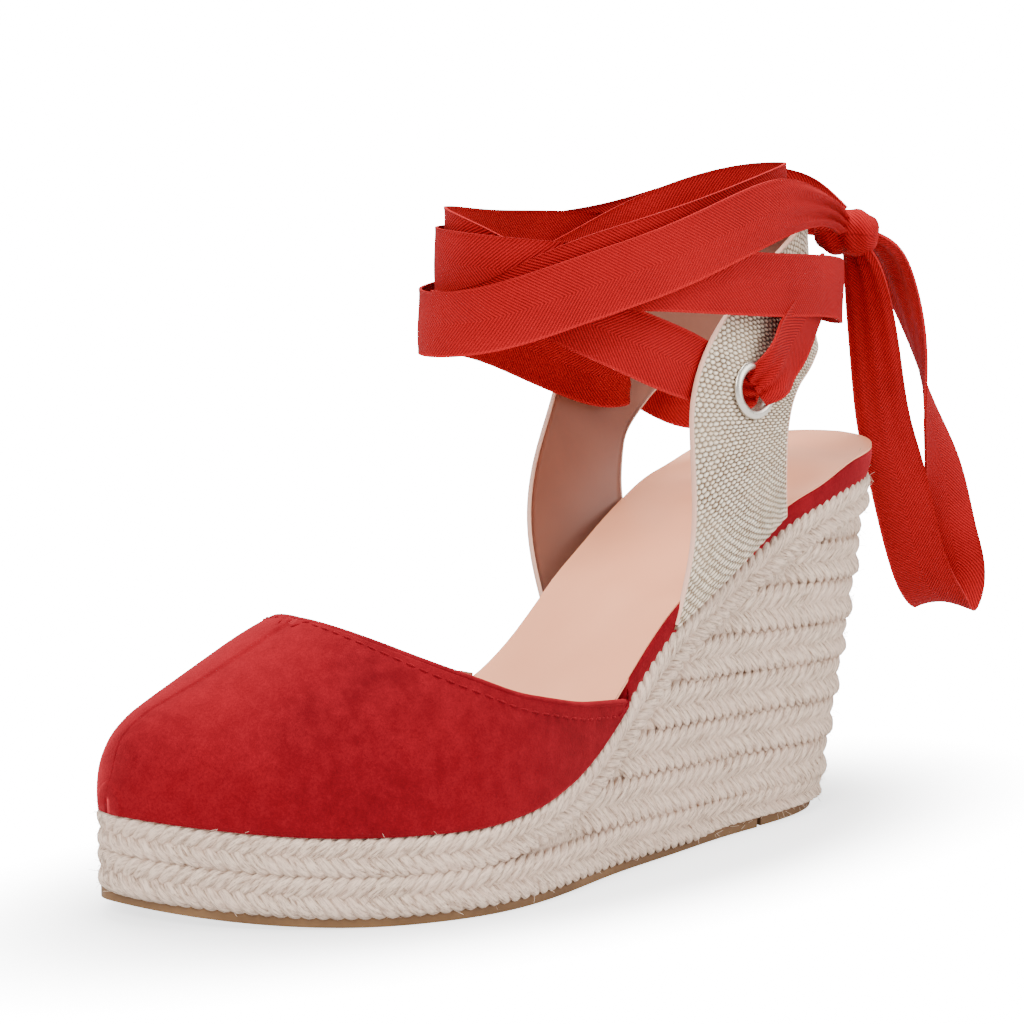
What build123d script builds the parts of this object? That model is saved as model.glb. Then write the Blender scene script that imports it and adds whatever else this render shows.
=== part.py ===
from build123d import *
import math
import os

# Left-foot wedge sandal. Millimetres. +Z up, toe towards -Y, heel towards +Y, lateral side +X.
# Origin: on the ground, on the heel's centreline, half way along the ground length.

# ---- driving dimensions
OUTSOLE_T = 2.7            # rubber outsole thickness
SOLE_INSET = 2.0           # outsole edge back from the jute's outer face
PAD_INSET = 2.5            # heel pad edge back from the jute's outer face
PAD_FROM, GROOVE = 70.0, 2.0
BRAID_W = 9.3              # each jute braid's height on the platform
TOP_BRAID_W = 10.5         # braid under the footbed, measured square to its slope
BRAID_T = 6.0              # how deep each braid stands in front of the wedge core
TOE_SPRING = 4.0           # lift of the toe tip
SPRING_FROM, SPRING_LEN = -55.0, 50.0
HEEL_LEAN = 20.0           # the heel's back overhangs by this at LEAN_HEIGHT
LEAN_HEIGHT = 92.0
LEAN_FROM, LEAN_TO = 10.0, 98.0
BOARD_T = 2.0              # insole board
SOCK_T = 0.9               # footbed cover
BED_INSET = 4.3            # board, foam and cover back from the jute's outer face
RIM_INSET, RIM_T = 2.0, 1.6
VAMP_INSET = 0.6           # vamp foot back from the jute's outer face
UPPER_T, PUFF_T, LINING_T = 1.2, 0.8, 0.8
CANVAS_T, STRAP_LINING_T = 0.9, 0.6
RIBBON_W, RIBBON_T = 16.0, 0.7
EYELET_HOLE_R, EYELET_BARREL_R, EYELET_FLANGE_R = 5.0, 5.6, 7.6
EYELET_T = 0.8
SEAT_GAP = 0.12            # bedding gap between glued neighbours

# ---- plan outline of the jute's outer face at the ground, from the toe tip round the lateral side
OUTLINE = [
    (-5.0, -106.5), (17.4, -95.5), (33.0, -80.0), (47.3, -54.0), (51.8, -33.0), (49.6, -13.0),
    (43.3, 10.0), (38.5, 34.0), (33.8, 58.0), (31.0, 80.0), (22.0, 102.0), (0.0, 111.5),
    (-22.0, 102.0), (-31.0, 80.0), (-24.0, 56.0), (-14.0, 36.0), (-9.5, 18.0), (-14.5, 1.0),
    (-25.0, -16.0), (-33.0, -36.0), (-34.8, -58.0), (-30.5, -79.0), (-20.5, -96.0),
]

# ---- side profile: height of the jute's upper edge along Y
JUTE_TOP = [
    (-125, 21.0), (-60, 21.0), (-38, 20.8), (-20, 23.2), (-5, 28.0), (6, 34.2), (14.7, 41.4),
    (26.2, 51.8), (36, 58.8), (60, 70.3), (82, 79.8), (105, 86.2), (135, 90.5), (150, 92.0),
]
# seams between the heel's braids, at y = SEAM_Y; they fall slightly towards the back
SEAMS = [9.8, 21.0, 31.6, 42.5, 52.6, 64.0, 74.5, 86.0]
SEAM_Y, SEAM_FALL = 60.0, 0.045

# ---- vamp: the crown's height over the jute's edge, and the topline's height, along Y
VAMP_CROWN = [(-107, 2.0), (-105.6, 6.5), (-103, 17), (-99, 21.5), (-94, 25.2), (-86, 29.7),
              (-76, 35.6), (-60, 45), (-40, 52), (-15, 54), (20, 50)]
TOPLINE = [(-61, 67.5), (-45, 58.5), (-25, 49.5), (-5, 44.5), (16, 42.0), (26, 41.5)]
VAMP_REAR = ((-40.0, 1.5), (60.0, 17.5))   # plan line of the vamp's rear edge, medial to lateral
ARCH_X_POWER, ARCH_Z_POWER = 2 / 2.1, 2 / 2.1

# ---- heel sling: its front/top edge, rear/bottom edge and outward bow between them, from the
# lateral base round the back of the ankle to the medial base
STRAP = [
    ((38.5, 33, 57.5), (33.0, 77.0, 80.5), 0.8), ((36.5, 41, 80), (33.0, 76.6, 92), 0.6),
    ((35, 42, 100), (33.0, 76.8, 103), 0.4), ((34, 43, 114), (32.7, 78.5, 110), 0.2),
    ((33, 50, 128), (32.2, 81.5, 115), 0.2), ((30.5, 63, 139), (30, 88, 119), 0.2),
    ((27, 80, 149.5), (24, 97.5, 123.5), 0.2), ((18, 98, 157), (14, 106, 126.5), 0.2),
    ((0, 109, 160), (0, 110, 128), 0.2), ((-16, 101, 157), (-14, 105, 125.5), 0.2),
    ((-26, 84, 148), (-24, 96, 119), 0.2), ((-31, 68, 133), (-29.5, 87, 109.5), 0.2),
    ((-32, 57, 119), (-31, 80, 101.5), 0.2), ((-30, 50, 107), (-31, 77, 97), 0.6),
    ((-27, 42, 93), (-30, 75.2, 91), 1.4), ((-23, 36.5, 79), (-28.7, 73.8, 86), 2.2),
    ((-16, 33, 65), (-27.4, 73, 81), 3.2), ((-11, 32, 55.5), (-26, 72.5, 76.5), 3.8),
]
LATERAL_EYELET = ((33.2, 64.0, 115.0), (0.993, 0.057, 0.102))
MEDIAL_EYELET = ((-31.3, 70.0, 115.0), (-0.996, 0.073, 0.039))

# ---- tie ribbon: (x, y, z, width) down the middle of the band, the stretches between knot and eyelets
ANKLE_CENTRE_Y, ANKLE_A, ANKLE_B = 56.5, 35.0, 65.0
LATERAL_START = [(33.2, 65.2, 115.2, 7.5), (31.4, 61.6, 115.6, 9.5), (31.0, 55.0, 117.8, 13)]
# (angle round the ankle, height, stand-off from the ankle oval)
LATERAL_WRAP = [
    (-10, 121, -3), (-32, 130, -3), (-55, 139.5, -4), (-75, 147.5, -4.7), (-105, 152.5, -4.7),
    (-150, 152, -3), (-180, 151, -2), (-200, 149.5, -2), (-240, 143, -1), (-285, 136.5, -1),
    (-310, 138.5, 0.5), (-350, 141.5, 1.5), (-380, 144, 1.5), (-410, 145.5, -0.5), (-435, 147, -2),
    (-465, 148, -2), (-500, 148.5, -0.5), (-540, 150.5, 0.5), (-560, 153.5, 1), (-580, 159, 1),
    (-600, 162.5, 0), (-622, 160, 0),
]
LATERAL_END = [(8.0, 122.0, 155.5, 9)]
MEDIAL_WRAP = [
    (-31.2, 71.2, 115.2, 7.5), (-29.3, 67.5, 115.2, 9), (-28.6, 60, 116, 13), (-28.8, 46, 121, 16),
    (-27.6, 25.5, 128.5, 16), (-14, -2.6, 132.5, 16), (0, -8.0, 133, 16), (14, -4.2, 136.5, 16),
    (24, 4.7, 143, 16), (34.3, 27, 151, 16), (34.5, 53, 157.5, 16), (28, 78, 163, 16),
    (12, 93, 164, 16), (-8, 95, 162.5, 16), (-20, 88, 158.5, 16), (-29.8, 70, 149.5, 16),
    (-31.2, 48, 141, 16), (-29.6, 18.5, 135, 16), (-15.5, -5.4, 133, 16), (0, -11.6, 133, 16),
    (16, -7.5, 135.2, 16), (28, 9, 141.5, 16), (36.5, 33, 149.5, 16), (38.3, 55, 157, 16),
    (36.8, 70, 160.6, 15), (32, 85, 160.8, 11.5), (25.5, 98.5, 159.5, 8.5), (18.5, 109.5, 157.5, 7),
    (10.5, 120.5, 154.5, 6),
]
HEEL_LOOP = [
    (33.4, 64.8, 114.6, 9), (35.6, 68.0, 117.6, 12), (34.9, 74.0, 124.0, 16), (32.4, 83.0, 132.0, 16),
    (28.0, 92.0, 137.5, 16), (20.5, 102.3, 140.0, 16), (10.0, 111.8, 138.0, 16), (0.0, 115.3, 131.0, 16),
    (-9.0, 113.8, 120.5, 16), (-18.0, 108.8, 110.5, 16), (-26.0, 100.5, 106.0, 16),
    (-31.8, 92.5, 109.5, 16), (-34.6, 83.0, 115.0, 15), (-34.0, 75.5, 116.5, 10.5), (-31.2, 71.2, 115.2, 7.5),
]

# ---- knot, and the bow loop that hangs from it: (x, y, z, width, turn of the width from +X)
KNOT_CENTRE = (10.0, 122.0, 153.0)
KNOT_R, KNOT_LENGTH = 6.3, 17.0
BOW_STEP, BOW_STRETCHES = 5.0, 12          # section spacing along the loop, and its lofts end to end
BOW_LOOP = [
    (12.0, 125.6, 145.2, 12, 0), (11.8, 128.4, 137.0, 12.5, 25), (11.0, 133.4, 117.0, 14, 45),
    (10.4, 137.8, 100.0, 15, 50), (9.9, 144.0, 85.0, 16, 50), (9.4, 153.2, 61.5, 16, 50),
    (8.8, 160.6, 50.5, 16, 50), (7.6, 169.5, 46.6, 16, 50), (6.4, 174.6, 52.0, 16, 50),
    (6.2, 172.6, 62.0, 16, 50), (6.0, 168.4, 83.0, 16, 50), (6.0, 162.2, 99.0, 16, 50),
    (6.5, 156.4, 114.0, 15, 50), (8.0, 147.2, 132.5, 14, 50), (9.2, 139.2, 143.8, 13, 30),
    (10.8, 130.8, 149.6, 12, 0),
]


def table(points, y):
    """Straight-line reading of a (y, value) table."""
    if y <= points[0][0]:
        return points[0][1]
    for (y0, v0), (y1, v1) in zip(points, points[1:]):
        if y <= y1:
            return v0 + (v1 - v0) * (y - y0) / (y1 - y0)
    return points[-1][1]


def ease(t):
    """Smooth step from 0 to 1."""
    t = min(max(t, 0.0), 1.0)
    return t * t * (3 - 2 * t)


def spring(y):
    """Toe lift at y."""
    t = min(max((SPRING_FROM - y) / SPRING_LEN, 0.0), 1.2)
    return TOE_SPRING * t * t


def lean(y):
    """Overhang, at LEAN_HEIGHT, of the outline point at y."""
    return HEEL_LEAN * ease((y - LEAN_FROM) / (LEAN_TO - LEAN_FROM))


def outline_edge(z, inset):
    """The closed plan outline at height z, moved in by inset."""
    points = []
    for i, (x, y) in enumerate(OUTLINE):
        before, after = OUTLINE[i - 1], OUTLINE[(i + 1) % len(OUTLINE)]
        tx, ty = after[0] - before[0], after[1] - before[1]
        length = math.hypot(tx, ty)
        points.append((x - inset * ty / length, y + inset * tx / length + lean(y) * z / LEAN_HEIGHT, z))
    return Edge.make_spline([Vector(*p) for p in points], periodic=True)


def prism(inset, low=-1.0, high=150.0):
    """The wedge's footprint pulled up along the heel's lean."""
    return Solid.make_loft([Wire([outline_edge(low, inset)]), Wire([outline_edge(high, inset)])], True)


OUTLINE_SAMPLES = [outline_edge(0, 0).position_at(i / 600) for i in range(601)]


def side_x(y, z):
    """Medial and lateral x of the jute's outer face at a place along the shoe."""
    hits = []
    for a, b in zip(OUTLINE_SAMPLES, OUTLINE_SAMPLES[1:]):
        ya = a.Y + lean(a.Y) * z / LEAN_HEIGHT
        yb = b.Y + lean(b.Y) * z / LEAN_HEIGHT
        if ya != yb and (ya - y) * (yb - y) <= 0:
            hits.append(a.X + (b.X - a.X) * (y - ya) / (yb - ya))
    return min(hits), max(hits)


def side_band(lower, upper, y_from=-125.0, y_to=150.0, step=5.0):
    """Everything between two height curves along the shoe, right across it."""
    count = round((y_to - y_from) / step)
    ys = [y_from + (y_to - y_from) * i / count for i in range(count + 1)]
    # a straight run is kept straight, so the sole's ground face stays flat
    ring = [Vector(0, y, lower(y)) for y in ys] + [Vector(0, y, upper(y)) for y in reversed(ys)]
    kept = []
    for i, p in enumerate(ring):
        a, b = ring[i - 1], ring[(i + 1) % len(ring)]
        if (p - a).cross(b - p).length > 1e-6:
            kept.append(p)
    return extrude(Face(Wire.make_polygon(kept)), amount=120, dir=(1, 0, 0), both=True)


def jute_top(y):
    return table(JUTE_TOP, y) + spring(y)


def top_braid_bottom(y):
    rise = (table(JUTE_TOP, y + 4) - table(JUTE_TOP, y - 4)) / 8.0
    return jute_top(y) - TOP_BRAID_W * math.hypot(1.0, rise) + (TOP_BRAID_W - BRAID_W) * (1 - ease((y + 40) / 30))


def seam(index, y):
    return SEAMS[index] - SEAM_FALL * (y - SEAM_Y)


def sole_top(y):
    return OUTSOLE_T + spring(y)


def bottom_braid_top(y):
    """The lowest seam: half way up the platform, then the heel's first seam."""
    fore = OUTSOLE_T + BRAID_W + spring(y) - 0.3
    return fore + (seam(0, y) - fore) * ease((y + 15.0) / 60.0)


def rim_height(y):
    """Footbed height over the jute's edge."""
    return 6.4 - 0.8 * ease((y - 30.0) / 50.0) + 1.9 * ease((y - 90.0) / 20.0)


def footbed_top(y):
    return jute_top(y) + rim_height(y)


def tidy(shape, smallest=3.0):
    """A boolean result without crumbs."""
    solids = [s for s in shape.solids() if s.volume > smallest]
    return solids[0] if len(solids) == 1 else Compound(children=solids)


def behind(y):
    """All space on the heel side of y."""
    return Pos(0, y + 200, 100) * Box(400, 400, 400)


def rear_line_block(shift):
    """All space behind the vamp's rear edge, moved back by shift."""
    (x0, y0), (x1, y1) = VAMP_REAR
    corners = [(x0, y0 + shift), (x1, y1 + shift), (x1, 200), (x0, 200)]
    return extrude(Face(Wire.make_polygon([Vector(x, y, -20) for x, y in corners])), amount=300, dir=(0, 0, 1))


def dome_section(y, shrink, foot):
    """Closed section of the vamp's dome at y, with its foot carried down by foot."""
    base = jute_top(y) + SEAT_GAP
    medial, lateral = side_x(y, base)
    centre = (medial + lateral) / 2
    half = (lateral - medial) / 2 - VAMP_INSET - shrink
    crown = max(table(VAMP_CROWN, y - shrink) - 0.6 * shrink, 1.0)
    steps = 16
    arch = []
    for i in range(steps + 1):
        c, s = math.cos(math.pi * i / steps), math.sin(math.pi * i / steps)
        x = centre + half * math.copysign(abs(c) ** ARCH_X_POWER, c)
        arch.append(Vector(x, y, base + crown * max(s, 0.0) ** ARCH_Z_POWER))
    low_first = Vector(arch[0].X, y, base - foot)
    low_last = Vector(arch[-1].X, y, base - foot)
    ring = arch + ([low_last, low_first] if foot else [])
    return Wire.make_polygon(ring)


def dome(shrink, foot=0.0):
    """Solid vamp form, smaller all round by shrink."""
    start = -105.4 + shrink
    ys = [start, start + 1.2, start + 2.6, start + 5, start + 8.5, -92 + shrink, -86, -79, -72, -66]
    ys += [-60 + 7 * i for i in range(13)]
    return Solid.make_loft([dome_section(y, shrink, foot) for y in ys], True)


def above_topline():
    """The space over the vamp's topline."""
    return side_band(lambda y: table(TOPLINE, y), lambda y: 200.0, -61.0, 40.0, 4.0)


def between_domes(outer, inner):
    shell = dome(outer) - dome(inner, 4.0)
    shell = shell - above_topline()
    return tidy(shell - rear_line_block(0.0))


def strap_section(front, rear, bow, depth_out, depth_in, outward):
    """Closed section across the sling between two depths under its outer face."""
    a, b = Vector(*front), Vector(*rear)
    outer, inner = [], []
    for i in range(7):
        t = i / 6
        p = a + (b - a) * t + outward * (bow * 4 * t * (1 - t))
        outer.append(p - outward * depth_out)
        inner.append(p - outward * depth_in)
    return Wire.make_polygon(outer + inner[::-1])


def strap_layer(depth_out, depth_in):
    """One layer of the sling, carried below the footbed edge and trimmed there later."""
    sections = []
    for i, (front, rear, bow) in enumerate(STRAP):
        before, after = STRAP[max(i - 1, 0)], STRAP[min(i + 1, len(STRAP) - 1)]
        along = (Vector(*after[0]) + Vector(*after[1])) - (Vector(*before[0]) + Vector(*before[1]))
        across = Vector(*rear) - Vector(*front)
        outward = across.cross(along).normalized()
        sections.append(strap_section(front, rear, bow, depth_out, depth_in, outward))
    return Solid.make_loft(sections, True)


def eyelet_plane(spot):
    centre, axis = spot
    return Plane(origin=centre, z_dir=axis)


def eyelet_bore(spot, radius):
    return eyelet_plane(spot) * Pos(0, 0, 0) * Cylinder(radius, 30)


def eyelet(spot):
    """Flange outside the canvas with a barrel through both layers."""
    flange = Pos(0, 0, EYELET_T / 2 + 0.5) * Cylinder(EYELET_FLANGE_R, EYELET_T)
    barrel = Pos(0, 0, -0.8) * Cylinder(EYELET_BARREL_R, 3.4)
    body = fillet(flange.edges().group_by(Axis.Z)[-1], 0.35) + barrel
    return eyelet_plane(spot) * (body - Cylinder(EYELET_HOLE_R, 20))


def eyelet_washer(spot):
    """Ring that the barrel is set over, inside the sling."""
    ring = Pos(0, 0, -2.2) * (Cylinder(EYELET_FLANGE_R - 0.5, 0.6) - Cylinder(EYELET_BARREL_R + 0.05, 2))
    return eyelet_plane(spot) * ring


def band_along(points, width_dirs=None, step=7.0, stretches=1):
    """A ribbon: thin rectangles lofted along a smooth line; points carry the width fourth.

    A band that turns back on itself is lofted in several stretches and joined.
    """
    line = Edge.make_spline([Vector(*p[:3]) for p in points])
    stops = [line.param_at_point(Vector(*p[:3])) for p in points]
    stops[0], stops[-1] = 0.0, 1.0
    count = int(line.length / step)
    sections = []
    for i in range(count + 1):
        u = i / count
        k = max(j for j in range(len(stops) - 1) if stops[j] <= u or j == 0)
        t = (u - stops[k]) / (stops[k + 1] - stops[k])
        width = points[k][3] + (points[k + 1][3] - points[k][3]) * t
        tangent = line.tangent_at(u)
        if width_dirs is None:
            wish = Vector(0, 0, 1)
        else:
            turn = math.radians(width_dirs[k] + (width_dirs[k + 1] - width_dirs[k]) * t)
            wish = Vector(math.cos(turn), math.sin(turn), 0)
        across = (wish - tangent * tangent.dot(wish)).normalized()
        face_out = tangent.cross(across)
        p = line.position_at(u)
        half_w, half_t = across * (width / 2), face_out * (RIBBON_T / 2)
        corners = [p + half_w + half_t, p + half_w - half_t, p - half_w - half_t, p - half_w + half_t]
        sections.append(Wire.make_polygon(corners))
    cuts = [round(count * k / stretches) for k in range(stretches + 1)]
    lofts = [Solid.make_loft(sections[a:b + 1], True) for a, b in zip(cuts, cuts[1:])]
    return lofts[0] if stretches == 1 else lofts[0].fuse(*lofts[1:])


def ankle_point(angle, z, stand_off):
    a = math.radians(angle)
    x = (ANKLE_A + stand_off) * math.cos(a)
    y = ANKLE_CENTRE_Y + (ANKLE_B + stand_off) * math.sin(a)
    return (x, y, z, RIBBON_W)


def knot():
    """The rolled wrap at the back of the ankle, its roll along X."""
    roll = Pos(*KNOT_CENTRE) * Rot(0, 90, 0) * Cylinder(KNOT_R, KNOT_LENGTH)
    return fillet(roll.edges(), 2.4)


def sole_nodes():
    sole = prism(SOLE_INSET) & side_band(spring, sole_top)
    pad = prism(PAD_INSET) & side_band(spring, sole_top)
    return {
        "outsole": tidy(sole - behind(PAD_FROM)),
        "heel_pad": tidy(pad & behind(PAD_FROM + GROOVE)),
    }


def jute_nodes():
    """A plait round the bottom, a plait under the footbed, and the heel's stacked plaits between."""
    shell = prism(0.0) - prism(BRAID_T)
    braids = {
        "jute_braid_bottom": shell & side_band(lambda y: sole_top(y) + 0.05, bottom_braid_top),
        "jute_braid_top": shell & side_band(
            lambda y: max(top_braid_bottom(y), bottom_braid_top(y) + 0.05), jute_top),
    }
    under_top = side_band(lambda y: 0.0, lambda y: max(top_braid_bottom(y) - 0.05, 0.5))
    for i in range(len(SEAMS) - 1):
        def floor(y, i=i):
            return (max(seam(0, y), bottom_braid_top(y)) if i == 0 else seam(i, y)) + 0.05

        row = shell & side_band(floor, lambda y, i=i: seam(i + 1, y))
        braids[f"jute_braid_row_{i + 2}"] = row & under_top
    return {name: tidy(shape, 20.0) for name, shape in braids.items()}


def bed_nodes():
    core = prism(BRAID_T + 0.1) & side_band(lambda y: sole_top(y) + 0.05, jute_top)
    bed = prism(BED_INSET)
    board_low = lambda y: jute_top(y) + SEAT_GAP
    board_high = lambda y: jute_top(y) + SEAT_GAP + BOARD_T
    foam_high = lambda y: footbed_top(y) - SOCK_T
    rim = (prism(RIM_INSET) - prism(RIM_INSET + RIM_T)) & side_band(board_low, footbed_top)
    return {
        "wedge_core": tidy(core),
        "insole_board": tidy(bed & side_band(board_low, board_high)),
        "footbed_foam": tidy(bed & side_band(lambda y: board_high(y) + 0.05, foam_high)),
        "sock_lining": tidy(bed & side_band(lambda y: foam_high(y) + 0.05, footbed_top)),
        "footbed_rim": tidy(rim & rear_line_block(0.5)),
    }


def vamp_nodes():
    puff = between_domes(UPPER_T + 0.05, UPPER_T + PUFF_T) - behind(-74.0)
    stitch_zone = side_band(lambda y: table(TOPLINE, y) - 3.6, lambda y: table(TOPLINE, y) - 2.9, -60.0, 40.0, 4.0)
    stitches = (dome(-0.35) - dome(-0.02)) & stitch_zone
    return {
        "vamp_upper": between_domes(0.0, UPPER_T),
        "toe_puff": tidy(puff),
        "vamp_lining": between_domes(UPPER_T + PUFF_T + 0.05, UPPER_T + PUFF_T + LINING_T),
        "vamp_topline_stitching": tidy(stitches - rear_line_block(-0.5), 0.5),
    }


def strap_nodes():
    below = side_band(lambda y: -5.0, lambda y: jute_top(y) + SEAT_GAP)
    rim_space = prism(RIM_INSET - 0.05) & side_band(lambda y: 0.0, lambda y: footbed_top(y) + 0.3)
    fittings = {
        "eyelet_lateral": eyelet(LATERAL_EYELET), "eyelet_medial": eyelet(MEDIAL_EYELET),
        "eyelet_washer_lateral": eyelet_washer(LATERAL_EYELET),
        "eyelet_washer_medial": eyelet_washer(MEDIAL_EYELET),
    }
    layers = {
        "heel_strap_canvas": strap_layer(0.0, CANVAS_T),
        "heel_strap_lining": strap_layer(CANVAS_T + 0.03, CANVAS_T + STRAP_LINING_T),
    }
    nodes = {}
    for name, layer in layers.items():
        layer = layer - below - rim_space
        for spot in (LATERAL_EYELET, MEDIAL_EYELET):
            layer = layer - eyelet_bore(spot, EYELET_BARREL_R + 0.03)
        for fitting in fittings.values():
            layer = layer - fitting
        nodes[name] = tidy(layer)
    nodes.update(fittings)
    return nodes


def without(shape, others):
    for other in others:
        shape = shape - other
    return tidy(shape)


def ribbon_nodes(strap):
    """The tie ribbon, made to clear the sling, the eyelets and itself."""
    roll = knot()
    fixed = [roll] + list(strap.values())
    lateral_points = LATERAL_START + [ankle_point(*p) for p in LATERAL_WRAP] + LATERAL_END
    heel_loop = without(band_along(HEEL_LOOP), fixed)
    lateral = without(band_along(lateral_points), fixed + [heel_loop])
    return {
        "ribbon_lateral_wrap": lateral,
        "ribbon_medial_wrap": without(band_along(MEDIAL_WRAP), fixed + [heel_loop, lateral]),
        "ribbon_heel_loop": heel_loop,
        "ribbon_knot": roll,
        "ribbon_bow_loop": band_along(
            [p[:4] for p in BOW_LOOP], [p[4] for p in BOW_LOOP], BOW_STEP, BOW_STRETCHES),
    }


def main():
    os.makedirs("parts", exist_ok=True)
    strap = strap_nodes()
    groups = (sole_nodes(), jute_nodes(), bed_nodes(), vamp_nodes(), strap, ribbon_nodes(strap))
    for group in groups:
        for name, shape in group.items():
            export_step(shape, f"parts/{name}.step")
            print(name, round(shape.volume), len(shape.solids()), flush=True)


main()
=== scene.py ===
import math

import bmesh
import bpy
import numpy as np
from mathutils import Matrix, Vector


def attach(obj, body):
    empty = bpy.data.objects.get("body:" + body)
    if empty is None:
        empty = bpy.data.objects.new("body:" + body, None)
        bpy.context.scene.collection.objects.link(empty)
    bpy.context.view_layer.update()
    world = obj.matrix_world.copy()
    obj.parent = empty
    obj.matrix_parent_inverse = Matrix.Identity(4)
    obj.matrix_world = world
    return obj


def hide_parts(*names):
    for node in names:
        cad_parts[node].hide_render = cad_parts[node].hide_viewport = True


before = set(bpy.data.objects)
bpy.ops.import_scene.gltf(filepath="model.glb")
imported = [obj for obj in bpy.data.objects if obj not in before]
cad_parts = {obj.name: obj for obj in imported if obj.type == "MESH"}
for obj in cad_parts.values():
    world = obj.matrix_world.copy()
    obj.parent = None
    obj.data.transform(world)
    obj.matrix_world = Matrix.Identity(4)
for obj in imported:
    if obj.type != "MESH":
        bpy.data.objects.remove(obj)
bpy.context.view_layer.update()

# A closed-toe espadrille wedge sandal: plaited jute wedge, suede vamp, canvas heel sling and a ribbon that
# ties round the ankle, its bow loop on the one joint.
# Sizes below are in millimetres, in the CAD frame: +Z up, toe towards -Y, lateral side +X.
MM = 0.001
RNG = np.random.default_rng(7)

# ---- the wedge's driving dimensions, as in the CAD model
TOE_SPRING, SPRING_FROM, SPRING_LEN = 4.0, -55.0, 50.0
HEEL_LEAN, LEAN_HEIGHT, LEAN_FROM, LEAN_TO = 20.0, 92.0, 10.0, 98.0
OUTSOLE_T, BRAID_W, TOP_BRAID_W = 2.7, 9.3, 10.5
SEAM_Y, SEAM_FALL = 60.0, 0.045  # the heel's plaits fall a little towards the back
SEAMS = [9.8, 21.0, 31.6, 42.5, 52.6, 64.0, 74.5, 86.0]
# the wedge's plan at the floor, from the toe round by the lateral side
OUTLINE = [
    (-5, -106.5), (17.4, -95.5), (33, -80), (47.3, -54), (51.8, -33), (49.6, -13),
    (43.3, 10), (38.5, 34), (33.8, 58), (31, 80), (22, 102), (0, 111.5),
    (-22, 102), (-31, 80), (-24, 56), (-14, 36), (-9.5, 18), (-14.5, 1),
    (-25, -16), (-33, -36), (-34.8, -58), (-30.5, -79), (-20.5, -96),
]
# height of the jute's upper edge along y
JUTE_TOP = [
    (-125, 21), (-60, 21), (-38, 20.8), (-20, 23.2), (-5, 28), (6, 34.2), (14.7, 41.4),
    (26.2, 51.8), (36, 58.8), (60, 70.3), (82, 79.8), (105, 86.2), (135, 90.5), (150, 92),
]
RIM_FORE, RIM_WAIST_DROP, RIM_HEEL_RISE = 6.4, 0.8, 1.9

# ---- vamp: crown height along y, topline height along y, and its rear edge in plan, medial to lateral
VAMP_CROWN = [(-107, 2.0), (-105.6, 6.5), (-103, 17), (-99, 21.5), (-94, 25.2), (-86, 29.7),
              (-76, 35.6), (-60, 45), (-40, 52), (-15, 54), (20, 50)]
TOPLINE = [(-61, 67.5), (-45, 58.5), (-25, 49.5), (-5, 44.5), (16, 42.0), (26, 41.5)]
THROAT_Y, VAMP_INSET, NOSE_BULGE = -61.0, 0.6, 0.9
VAMP_REAR = ((-40.0, 1.5), (60.0, 17.5))
UPPER_T, LINING_IN, LINING_T = 1.2, 2.05, 0.8
PUFF_REAR, LAYER_GAP = -74.0, 0.05
REAR_REACH = (19.0, 6.8)  # how far back the vamp is drawn before its rear edge trims it: lateral, medial
SECTION_POWER = 2 / 2.1  # roundness of the vamp's cross section
SECTION_COLS, TOE_ROWS, REAR_ROWS = 36, 60, 90
STITCH_DROP, STITCH_PITCH, STITCH_LEN, STITCH_R = 3.2, 3.3, 2.3, (0.34, 0.28)

# ---- heel sling: front/top edge, rear/bottom edge, outward bow
STRAP = [
    ((38.5, 33, 57.5), (33, 77, 80.5), 0.8), ((36.5, 41, 80), (33, 76.6, 92), 0.6),
    ((35, 42, 100), (33, 76.8, 103), 0.4), ((34, 43, 114), (32.7, 78.5, 110), 0.2),
    ((33, 50, 128), (32.2, 81.5, 115), 0.2), ((30.5, 63, 139), (30, 88, 119), 0.2),
    ((27, 80, 149.5), (24, 97.5, 123.5), 0.2), ((18, 98, 157), (14, 106, 126.5), 0.2),
    ((0, 109, 160), (0, 110, 128), 0.2), ((-16, 101, 157), (-14, 105, 125.5), 0.2),
    ((-26, 84, 148), (-24, 96, 119), 0.2), ((-31, 68, 133), (-29.5, 87, 109.5), 0.2),
    ((-32, 57, 119), (-31, 80, 101.5), 0.2), ((-30, 50, 107), (-31, 77, 97), 0.6),
    ((-27, 42, 93), (-30, 75.2, 91), 1.4), ((-23, 36.5, 79), (-28.7, 73.8, 86), 2.2),
    ((-16, 33, 65), (-27.4, 73, 81), 3.2), ((-11, 32, 55.5), (-26, 72.5, 76.5), 3.8),
]
CANVAS_T, STRAP_LINING_T = 0.9, 0.6
SLING_WIDTH, SLING_LENGTH = 34.5, 318.0  # its mean size laid flat, which the weave follows
WEAVE_CELL = (0.48, 0.4)  # size of a mesh cell across and along
# basket weave: floats' spacing along and between rows, half size in shares of those, and height
FLOAT_PITCH, FLOAT_ROW, FLOAT_HALF, WEAVE_H = 1.95, 1.35, (0.46, 0.52), 0.36
# eyelets as (centre, axis)
LATERAL_EYELET = ((33.2, 64.0, 115.0), (0.993, 0.057, 0.102))
MEDIAL_EYELET = ((-31.3, 70.0, 115.0), (-0.996, 0.073, 0.039))
EYELET_HOLE_R, EYELET_FLANGE_R = 5.0, 7.6

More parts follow.
